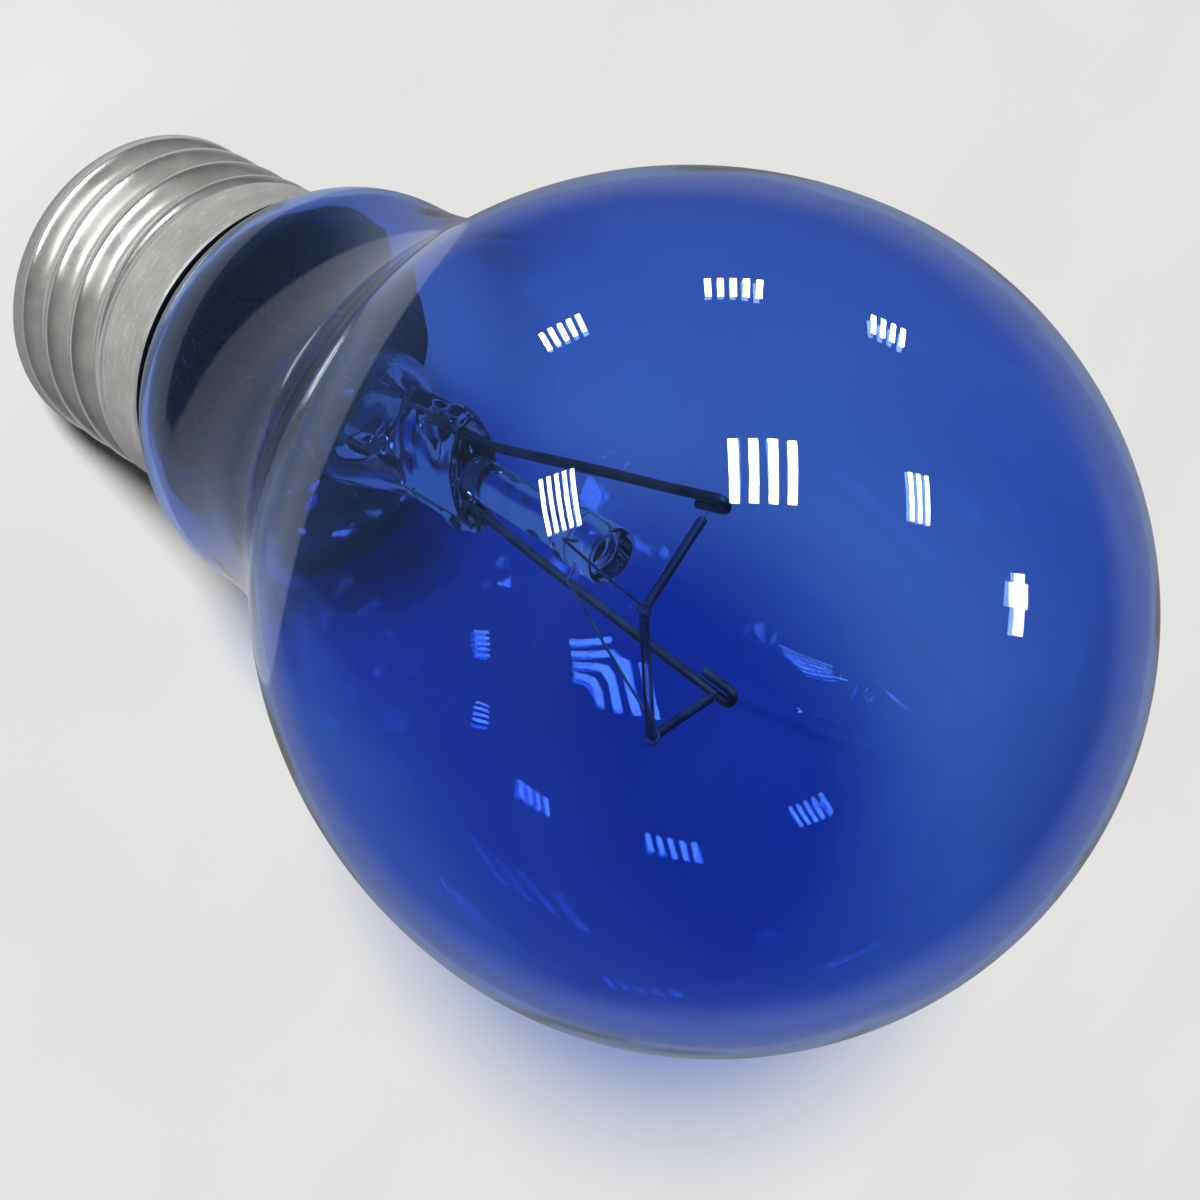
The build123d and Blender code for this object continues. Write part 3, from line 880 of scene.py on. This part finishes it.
@dataclass
class BlownEnvelope:
    """The blown blue glass: globe, neck, shoulder and the seat inside the cap."""

    globe_radius: float = 30.0
    belly_radius: float = 38.5
    neck_radius: float = 16.5
    neck_length: float = 1.4
    neck_blend: float = 30.0
    shoulder_radius: float = 10.5
    mouth_radius: float = 12.8
    seat_radius: float = 10.8
    seat_blend: float = 3.0
    seal_height: float = 14.0
    cap_height: float = 25.0
    wall: float = 0.6
    segments: int = 192
    arc_step: float = 1.6
    neck_steps: int = 8
    seat_steps: int = 6
    unevenness: float = 0.05
    wave_around: float = 2.2
    wave_along: float = 0.07
    ripple: float = 0.014
    ripple_rate: float = 3.4

    def section(self, inset: float) -> list[Span]:
        """Half section of one face of the wall.

        Args:
            inset: How far that face lies inside the outer one.

        Returns:
            Its points from the crown down to the seal.
        """
        neck, blend, bend = self.neck_radius, self.neck_blend, self.shoulder_radius
        rise = math.sqrt(bend**2 - (bend - (neck - self.mouth_radius)) ** 2)
        shoulder = (neck - bend, self.cap_height + rise)
        seat_x = self.seat_radius + self.seat_blend
        offset = seat_x - shoulder[0]
        seat_top = shoulder[1] - math.sqrt((bend + self.seat_blend) ** 2 - offset**2)
        seat_angle = math.degrees(math.atan2(seat_top - shoulder[1], offset))
        neck_top = shoulder[1] + self.neck_length
        belly_x = self.globe_radius - self.belly_radius
        belly_offset = neck + blend - belly_x
        middle = neck_top + math.sqrt((self.belly_radius + blend) ** 2 - belly_offset**2)
        belly_angle = math.degrees(math.atan2(neck_top - middle, belly_offset))
        pen = SectionPen(self.arc_step)
        pen.to(0.0, middle + self.globe_radius - inset)
        pen.arc((0.0, middle), self.globe_radius - inset, 90.0, 0.0)
        pen.arc((belly_x, middle), self.belly_radius - inset, 0.0, belly_angle)
        pen.arc((neck + blend, neck_top), blend + inset, belly_angle + 180.0, 180.0)
        pen.to(neck - inset, shoulder[1], self.neck_steps)
        pen.arc(shoulder, bend - inset, 0.0, seat_angle)
        pen.arc((seat_x, seat_top), self.seat_blend + inset, seat_angle + 180.0, 180.0)
        pen.to(self.seat_radius - inset, self.seal_height, self.seat_steps)
        return pen.points

    def sway(self, angle: float, height: float) -> float:
        """Unevenness of the inner face.

        Args:
            angle: Angle round the axis.
            height: Height along the axis.

        Returns:
            How far the face stands out there.
        """
        x, y = self.wave_around * math.cos(angle), self.wave_around * math.sin(angle)
        spot = Vector((x, y, self.wave_along * height))
        fine = self.ripple * noise.noise(spot * self.ripple_rate)
        return self.unevenness * noise.noise(spot) + fine

    def build(self) -> Piece:
        """Blows the glass, its inner face a little uneven.

        Returns:
            The envelope.
        """
        outer = self.section(0.0)
        inner = list(reversed(self.section(self.wall)))

        def shift(angle: float, height: float, place: int) -> float:
            """Unevenness at an angle and a height, on the inner face only."""
            return self.sway(angle, height) if place >= len(outer) else 0.0

        piece = Maker.turned("blue_envelope", outer + inner, self.segments, shift=shift)
        return Maker.seat(piece, BLUE_GLASS, "envelope")


@dataclass
class ScrewCap:
    """The rolled cap with its insulator, contact, cement and solder."""

    shell_radius: float = 13.1
    sheet: float = 0.25
    height: float = 25.0
    floor_height: float = 5.4
    corner_radius: float = 1.5
    floor_opening: float = 21.0
    collar_height: float = 5.4
    lip_radius: float = 13.75
    lip_height: float = 0.9
    thread_pitch: float = 3.629
    thread_depth: float = 1.095
    run_out: float = 0.4
    thread_steps: int = 96
    collar_steps: int = 10
    arc_step: float = 9.0
    segments: int = 192
    dent: float = 0.02
    dent_around: float = 3.0
    dent_along: float = 0.35

    def section(self, inset: float) -> list[Span]:
        """Half section of one face of the sheet, without its thread.

        Args:
            inset: How far that face lies inside the outer one.

        Returns:
            Its points from the opening in the floor up to the rim.
        """
        side = self.shell_radius - inset
        corner = self.corner_radius
        flare = self.lip_radius - self.shell_radius
        lip_arc = (flare**2 + self.lip_height**2) / (2 * flare)
        lip_angle = 180.0 - math.degrees(math.asin(self.lip_height / lip_arc))
        lip_start = self.height - self.lip_height
        thread_bottom = self.floor_height + corner
        pen = SectionPen(self.arc_step)
        pen.to(self.floor_opening / 2, self.floor_height + inset)
        pen.arc((self.shell_radius - corner, thread_bottom), corner - inset, -90.0, 0.0)
        pen.to(side, self.height - self.collar_height, self.thread_steps)
        pen.to(side, lip_start, self.collar_steps)
        pen.arc((self.shell_radius + lip_arc, lip_start), lip_arc + inset, 180.0, lip_angle)
        return pen.points

    def groove(self, angle: float, height: float, place: int) -> float:
        """How far the rolled thread and small dents move the sheet outward.

        Args:
            angle: Angle round the axis.
            height: Height along the axis.
            place: Place in the section, which makes no difference here.

        Returns:
            The distance, which is negative in the grooves.
        """
        bottom = self.floor_height + self.corner_radius
        turns = (self.height - self.collar_height - bottom) / self.thread_pitch
        turn = (height - bottom) / self.thread_pitch
        fade = max(0.0, min(turn, turns - turn, self.run_out)) / self.run_out
        depth = self.thread_depth / 2 * (1 - math.cos(math.pi * fade)) / 2
        x, y = self.dent_around * math.cos(angle), self.dent_around * math.sin(angle)
        dent = self.dent * noise.noise(Vector((x, y, self.dent_along * height)))
        return -depth * (1 - math.cos(angle - 2 * math.pi * turn)) + dent

    def build(self, nodes: Nodes) -> list[Piece]:
        """Rolls the shell and dresses what it holds.

        Args:
            nodes: The frame's nodes.

        Returns:
            The cap's pieces.
        """
        outline = self.section(0.0) + list(reversed(self.section(self.sheet)))
        shell = Maker.turned("rolled_cap", outline, self.segments, closed=True, shift=self.groove)
        held = {
            "cap_insulator": BLACK_GLASS,
            "centre_contact": CONTACT_BRASS,
            "centre_solder": SOLDER,
            "side_solder": SOLDER,
            "basing_cement": CEMENT,
        }
        pieces = [Maker.seat(shell, CAP_METAL, "cap_shell")]
        return pieces + [Maker.dress(nodes[name], finish) for name, finish in held.items()]


@dataclass
class GlassStem:
    """The glass that carries the mount: flare and press, exhaust tube and arbor rod."""

    tube_radius: float = 2.2
    bore_radius: float = 1.3
    tip_height: float = 10.5
    tube_top: float = 37.2
    tube_steps: int = 40
    tip_step: float = 6.0
    press_top: float = 49.4
    rod_radius: float = 1.65
    rod_length: float = 11.0
    rod_steps: int = 24
    button_radius: float = 2.15
    button_length: float = 4.4
    button_round: float = 0.4
    button_step: float = 10.0
    button_start: float = -60.0
    sag: float = 0.05
    sag_along: float = 0.3
    segments: int = 64

    def bore(self, radius: float) -> list[Span]:
        """Half section of one face of the exhaust tube.

        Args:
            radius: Radius of that face.

        Returns:
            Its points from the tip upward.
        """
        tip = self.tip_height + self.tube_radius
        pen = SectionPen(self.tip_step).to(0.0, tip - radius)
        pen.arc((0.0, tip), radius, -90.0, 0.0).to(radius, self.tube_top, self.tube_steps)
        return pen.points

    def build(self, nodes: Nodes) -> list[Piece]:
        """Draws the turned pieces and dresses the press.

        Args:
            nodes: The frame's nodes.

        Returns:
            The stem's pieces.
        """
        outline = self.bore(self.tube_radius) + list(reversed(self.bore(self.bore_radius)))
        tube = Maker.turned("drawn_exhaust_tube", outline, self.segments)
        return [
            Maker.seat(tube, CLEAR_GLASS, "exhaust_tube"),
            Maker.seat(self.build_rod(), CLEAR_GLASS, "arbor_rod"),
            Maker.dress(nodes["stem_flare"], CLEAR_GLASS),
        ]

    def build_rod(self) -> Piece:
        """Draws the glass cane and its flame-rounded button.

        Returns:
            The cane.
        """
        low = self.press_top + self.rod_length
        top = low + self.button_length
        fold = self.button_round
        edge = self.button_radius - fold
        pen = SectionPen(self.button_step).to(0.0, self.press_top)
        pen.to(self.rod_radius, self.press_top).to(self.rod_radius, low - fold, self.rod_steps)
        pen.arc((self.rod_radius + fold, low - fold), fold, 180.0, 90.0)
        pen.arc((edge, low + fold), fold, self.button_start, 0.0)
        pen.arc((edge, top - fold), fold, 0.0, 90.0).to(0.0, top)

        def sagged(angle: float, height: float, place: int) -> float:
            """Unevenness of hand-worked glass at an angle and a height."""
            spot = Vector((math.cos(angle), math.sin(angle), self.sag_along * height))
            return self.sag * noise.noise(spot)

        return Maker.turned("glass_cane", pen.points, self.segments, shift=sagged)


@dataclass
class FilamentMount:
    """Leads, supports and the coiled filament."""

    lead_offset: float = 3.4
    bend_height: float = 50.9
    light_height: float = 77.4
    hook_span: float = 10.8
    hook_reach: float = 8.1
    corner_radius: float = 1.2
    corner_steps: int = 16
    clamp_span: float = 16.6
    clamp_drop: float = 3.4
    clamp_setback: float = 1.3
    clamp_bend: float = 0.5
    leg_length: float = 1.5
    coil_radius: float = 0.3
    wire_radius: float = 0.05
    wire_sides: int = 6
    coil_pitch: float = 0.17
    turn_steps: int = 12

    def path(self) -> list[Vector]:
        """Middle line of the filament.

        Returns:
            Its corners from clamp to clamp.
        """
        ends: list[Vector] = []
        corners: list[Vector] = []
        for side in (1.0, -1.0):
            grip_height = self.light_height - self.clamp_drop
            corner = Vector((side * self.hook_span / 2, self.hook_reach, self.light_height))
            grip = Vector((side * self.clamp_span / 2, -self.clamp_setback, grip_height))
            bend = Vector((side * self.lead_offset, 0.0, self.bend_height))
            across = (grip - bend).normalized().cross(corner - grip).normalized() * side
            ends.append(grip + across * self.clamp_bend)
            corners.append(corner)
        return [ends[0], *corners, ends[1]]

    def rounded(self, points: Sequence[Vector], step: float) -> list[Vector]:
        """Rounds the corners of a path.

        Args:
            points: Its corners.
            step: Distance between the points of the result.

        Returns:
            Close points along the rounded path.
        """
        line: list[Vector] = [points[0]]
        for before, corner, after in zip(points, points[1:], points[2:]):
            back, ahead = (before - corner).normalized(), (after - corner).normalized()
            half = back.angle(ahead) / 2
            cut = self.corner_radius / math.tan(half)
            centre = corner + (back + ahead).normalized() * (self.corner_radius / math.sin(half))
            start, end = corner + back * cut - centre, corner + ahead * cut - centre
            for k in range(self.corner_steps + 1):
                line.append(centre + start.slerp(end, k / self.corner_steps))
        line.append(points[-1])
        fine: list[Vector] = [line[0]]
        for a, b in zip(line, line[1:]):
            count = max(1, round((b - a).length / step))
            fine.extend(a.lerp(b, k / count) for k in range(1, count + 1))
        return fine

    def wound(self) -> list[Vector]:
        """Winds the wire round the middle line, with straight legs at both ends.

        Returns:
            Points along the wire.
        """
        middle = self.rounded(self.path(), self.coil_pitch / self.turn_steps)
        total = sum((b - a).length for a, b in zip(middle, middle[1:]))
        run = 0.0
        wire: list[Vector] = []
        for k, (heading, across) in enumerate(Maker.carried(middle)):
            run += (middle[k] - middle[k - 1]).length if k else 0.0
            inside = min(run, total - run) - self.leg_length
            if inside < 0 and k % self.turn_steps:
                continue
            swell = max(0.0, min(1.0, inside / self.coil_pitch)) * self.coil_radius
            turn = 2 * math.pi * run / self.coil_pitch
            spoke = across * math.cos(turn) + heading.cross(across) * math.sin(turn)
            wire.append(middle[k] + spoke * swell)
        return wire

    def build(self, nodes: Nodes) -> list[Piece]:
        """Winds the coil and dresses the wires.

        Args:
            nodes: The frame's nodes.

        Returns:
            The mount's pieces.
        """
        wires = {
            LEAD_METAL: ("inner_lead_a", "inner_lead_b", "fuse_wire"),
            COPPER_CLAD: ("seal_wire_a", "seal_wire_b", "outer_lead_centre", "outer_lead_side"),
            SUPPORT_METAL: ("support_wire_a", "support_wire_b"),
        }
        coil = Maker.tube("wound_filament", self.wound(), self.wire_radius, self.wire_sides)
        pieces = [Maker.seat(coil, TUNGSTEN, "filament")]
        for finish, names in wires.items():
            pieces.extend(Maker.dress(nodes[name], finish) for name in names)
        return pieces


@dataclass(frozen=True)
class StripBank:
    """A bank of strip lamps that the glass mirrors."""

    AIM = Vector((0.0, 0.0, 75.0))

    name: str
    centre: Triple
    across: Triple
    along: Triple
    bars: int
    brightness: float = 80.0
    bar_share: float = 0.5

    def build(self, lit: bpy.types.Collection) -> None:
        """Hangs the bank's lamps in a row.

        Args:
            lit: The only pieces that they light.
        """
        wide, tall = Vector(self.across), Vector(self.along)
        pitch = wide / max(1, self.bars - 1)
        width = pitch.length * (self.bar_share if self.bars > 1 else 1.0)
        x_axis = wide.normalized()
        z_axis = x_axis.cross(tall).normalized()
        # A lamp shines against its own Z, so that axis points away from the bulb.
        if z_axis.dot(self.AIM - Vector(self.centre)) > 0:
            x_axis, z_axis = -x_axis, -z_axis
        turn = Matrix((x_axis, z_axis.cross(x_axis), z_axis)).transposed().to_4x4()
        for bar in range(self.bars):
            lamp = bpy.data.lights.new(f"{self.name}_{bar}", "AREA")
            lamp.shape = "RECTANGLE"
            lamp.size = width * MM
            lamp.size_y = tall.length * MM
            lamp.energy = self.brightness * math.pi * lamp.size * lamp.size_y
            holder = bpy.data.objects.new(lamp.name, lamp)
            place = Vector(self.centre) + pitch * (bar - (self.bars - 1) / 2)
            holder.matrix_world = Matrix.Translation(place * MM) @ turn
            holder.visible_camera = False
            holder.visible_diffuse = False
            holder.light_linking.receiver_collection = lit
            bpy.context.scene.collection.objects.link(holder)


BANKS = (
    StripBank("bank_near", (293.1, 25.1, 208.3), (-14.7, -59.3, 43.1), (32.5, -53.9, -64.6), 4),
    StripBank("bank_top", (152.0, -63.7, 30.3), (-2.9, -19.4, 18.0), (-8.8, -8.4, -13.9), 5),
    StripBank("bank_left_up", (100.5, 13.2, 16.2), (5.1, -12.1, 6.0), (-2.7, -10.6, -5.2), 5),
    StripBank("bank_right_up", (159.9, -150.9, 90.3), (-12.3, -11.5, 13.1), (-1.6, -2.7, -22.3), 4),
    StripBank("bank_left_mid", (203.0, 167.5, 44.7), (17.8, -17.1, 23.8), (21.4, -35.9, -44.5), 5),
    StripBank("bank_right_mid", (201.2, -133.7, 291.3), (-14.8, -16.7, 3.0), (15.8, -40.9, -41.8),
              3),
    StripBank("bank_patch", (28.3, -130.9, 251.1), (-8.0, -8.0, -5.0), (30.0, -22.0, -22.0), 1,
              brightness=30.0),
    StripBank("bank_spill", (34.0, -133.0, 249.0), (-15.0, -14.0, -10.0), (12.0, -9.5, -8.5), 1,
              brightness=20.0),
)
CAP_BOX = StripBank("cap_box", (276.0, 134.0, 70.0), (-148.0, 304.0, 0.0), (0.0, 0.0, 130.0), 1,
                    brightness=5.5)


@dataclass
class Studio:
    """Floor, lamps, surroundings and camera."""

    floor_half: float = 3000.0
    key_from: Triple = (70.7, 44.2, 55.1)
    key_strength: float = 5.0
    key_softness: float = 9.0
    camera_place: Triple = (114.623, 110.191, 199.552)
    camera_right: Triple = (-0.0562, -0.75223, 0.6565)
    camera_up: Triple = (0.82514, -0.40519, -0.39365)
    lens: float = 88.68
    sensor: float = 36.0
    clip_start: float = 0.01
    sky_rise: Span = (0.0, 0.45)
    sky_behind: Span = (0.9, 0.12)
    sky_mirrored: Span = (0.03, 0.25)
    sky_seen: float = 0.9
    sky_fill: float = 0.035

    def build(self, bulb: Sequence[Piece], cap: Sequence[Piece]) -> None:
        """Sets up the studio.

        Args:
            bulb: Pieces that the banks light.
            cap: Pieces that the low box lights.
        """
        self.lay_floor()
        self.hang_lamps(self.group("bulb_side", bulb), self.group("cap_side", cap))
        self.paint_surroundings()
        self.place_camera()

    def lay_floor(self) -> None:
        """Lays the floor under the bulb."""
        half = self.floor_half * MM
        corners = [(-half, -half, 0.0), (half, -half, 0.0), (half, half, 0.0), (-half, half, 0.0)]
        mesh = bpy.data.meshes.new("floor")
        mesh.from_pydata(corners, [], [(0, 1, 2, 3)])
        mesh.materials.append(PALE_FLOOR.material())
        floor = bpy.data.objects.new("floor", mesh)
        bpy.context.scene.collection.objects.link(floor)

    @staticmethod
    def group(name: str, pieces: Sequence[Piece]) -> bpy.types.Collection:
        """Gathers the pieces that a lamp lights.

        Args:
            name: Name of the collection.
            pieces: What goes into it.

        Returns:
            The collection.
        """
        made = bpy.data.collections.new(name)
        for piece in pieces:
            made.objects.link(piece)
        return made

    def hang_lamps(self, bulb: bpy.types.Collection, cap: bpy.types.Collection) -> None:
        """Hangs the key lamp, the banks that the glass mirrors and the box beside the cap.

        Args:
            bulb: Pieces that the banks light.
            cap: Pieces that the low box lights.
        """
        lamp = bpy.data.lights.new("key", "SUN")
        lamp.energy = self.key_strength
        lamp.angle = math.radians(self.key_softness)
        holder = bpy.data.objects.new("key", lamp)
        holder.rotation_euler = Vector(self.key_from).to_track_quat("Z", "Y").to_euler()
        holder.visible_glossy = False
        holder.visible_transmission = False
        bpy.context.scene.collection.objects.link(holder)
        for bank in BANKS:
            bank.build(bulb)
        CAP_BOX.build(cap)

    def paint_surroundings(self) -> None:
        """Paints a pale surround that lights the floor only a little."""
        world = bpy.data.worlds.new("surroundings")
        bpy.context.scene.world = world
        world.use_nodes = True
        world.node_tree.nodes.clear()
        pen = NodePen(world.node_tree)
        path = pen.node("ShaderNodeLightPath").outputs
        heading = pen.node("ShaderNodeTexCoord").outputs["Generated"]
        rise = pen.node("ShaderNodeSeparateXYZ", {0: heading}).outputs[2]
        around = pen.spread(pen.far_side(heading), WHOLE, self.sky_mirrored)
        shares = (
            (path["Is Transmission Ray"], pen.spread(rise, self.sky_rise, self.sky_behind)),
            (pen.mirror_ray(path), around),
            (path["Is Camera Ray"], self.sky_seen),
            (path["Is Diffuse Ray"], self.sky_fill),
        )
        seen, mirrored, direct, fill = (pen.math("MULTIPLY", *share) for share in shares)
        sides = pen.math("MAXIMUM", seen, mirrored), pen.math("MAXIMUM", direct, fill)
        values = {"Color": (1.0, 1.0, 1.0, 1.0), "Strength": pen.math("MAXIMUM", *sides)}
        sky = pen.node("ShaderNodeBackground", values).outputs[0]
        pen.node("ShaderNodeOutputWorld", {"Surface": sky})

    def place_camera(self) -> None:
        """Sets the camera at its viewing angle."""
        right, up = Vector(self.camera_right).normalized(), Vector(self.camera_up).normalized()
        turn = Matrix((right, up, right.cross(up))).transposed().to_4x4()
        lens = bpy.data.cameras.new("camera")
        lens.lens = self.lens
        lens.sensor_width = self.sensor
        lens.clip_start = self.clip_start
        camera = bpy.data.objects.new("camera", lens)
        camera.matrix_world = Matrix.Translation(Vector(self.camera_place) * MM) @ turn
        bpy.context.scene.collection.objects.link(camera)
        bpy.context.scene.camera = camera


def main() -> None:
    """Builds the bulb's looks and its studio."""
    logging.basicConfig(level=logging.INFO, format="%(name)s: %(message)s")
    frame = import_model()
    nodes = frame["nodes"]
    envelope = BlownEnvelope().build()
    cap = ScrewCap().build(nodes)
    stem = GlassStem().build(nodes)
    mount = FilamentMount().build(nodes)
    Studio().build([envelope, *stem, *mount], cap)
    scene = bpy.context.scene
    scene.view_settings.view_transform = "Standard"
    scene.cycles.max_bounces = GLASS_BOUNCES
    scene.cycles.transmission_bounces = GLASS_BOUNCES
    scene.cycles.transparent_max_bounces = CLEAR_LAYERS


if __name__ == "__main__":
    main()
